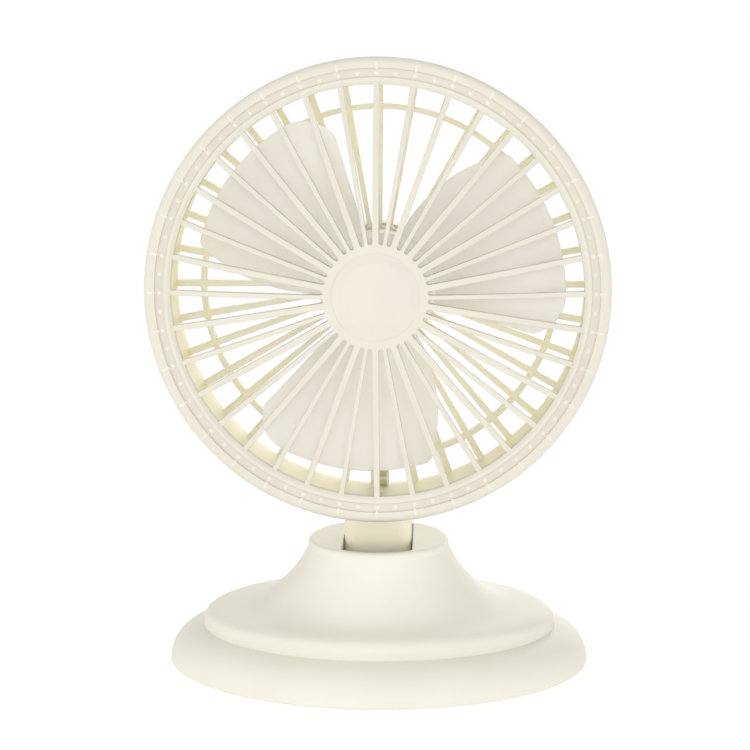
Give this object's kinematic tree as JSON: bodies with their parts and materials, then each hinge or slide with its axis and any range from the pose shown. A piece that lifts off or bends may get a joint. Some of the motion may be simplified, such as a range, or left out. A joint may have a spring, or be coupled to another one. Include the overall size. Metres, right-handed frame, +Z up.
{
  "type": "desk fan",
  "caption": "Small round-headed desk fan with a ribbed guard, broad blades and a tilting head on an oval weighted base.",
  "frame": {"origin": "middle of the oval base, on the plane of the table under the feet", "axes": "+Z up, the fan faces and blows towards -Y, +X is to the right for someone looking at the front"},
  "size_m": [0.15, 0.1038, 0.1997],
  "materials": {
    "cream_plastic": "satin moulded plastic, cream",
    "rubber_foot": "matt black rubber",
    "steel": "zinc-plated steel",
    "ballast_steel": "plain steel plate",
    "motor_steel": "nickel-plated steel",
    "magnet": "ferrite, dull dark grey",
    "bronze": "sintered bronze",
    "copper": "enamelled copper wire",
    "laminate": "stacked electrical steel",
    "board_green": "glass-fibre circuit board",
    "black_plastic": "satin black plastic",
    "white_plastic": "natural nylon"
  },
  "bodies": {
    "base": {"base_shell": "cream_plastic", "base_plate": "cream_plastic", "ballast_plate": "ballast_steel", "rubber_feet": "rubber_foot", "base_screws": "steel", "circuit_board": "board_green", "board_screws": "steel", "usb_socket": "steel", "switch_body": "black_plastic", "tilt_bolt": "steel", "tilt_nut": "steel", "tilt_spring_washer": "steel", "tilt_washers": "white_plastic"},
    "head": {"rear_guard": "cream_plastic", "front_guard": "cream_plastic", "hub_badge": "cream_plastic", "motor_cover": "cream_plastic", "motor_can": "motor_steel", "motor_end_cap": "black_plastic", "front_bush": "bronze", "rear_bush": "bronze", "motor_magnets": "magnet", "motor_brushes": "copper", "motor_terminals": "steel", "stem_front": "cream_plastic", "stem_back": "cream_plastic", "stem_screws": "steel", "motor_screws": "steel", "cover_screws": "steel"},
    "rotor": {"fan_blade": "cream_plastic", "motor_shaft": "steel", "armature_core": "laminate", "armature_windings": "copper", "commutator": "copper", "thrust_washers": "white_plastic"},
    "switch_knob": {"switch_knob": "black_plastic"}
  },
  "joints": [
    {"name": "head_tilt", "type": "hinge", "parent": "base", "child": "head", "pos_m": [0, 0, 0.024], "axis": [-1, 0, 0], "range_deg": [-15, 25]},
    {"name": "fan_spin", "type": "hinge", "parent": "head", "child": "rotor", "pos_m": [0, -0.014, 0.1247], "axis": [0, 1, 0], "continuous": true},
    {"name": "switch_slide", "type": "slide", "parent": "base", "child": "switch_knob", "axis": [1, 0, 0], "range_m": [0, 0.003]}
  ]
}
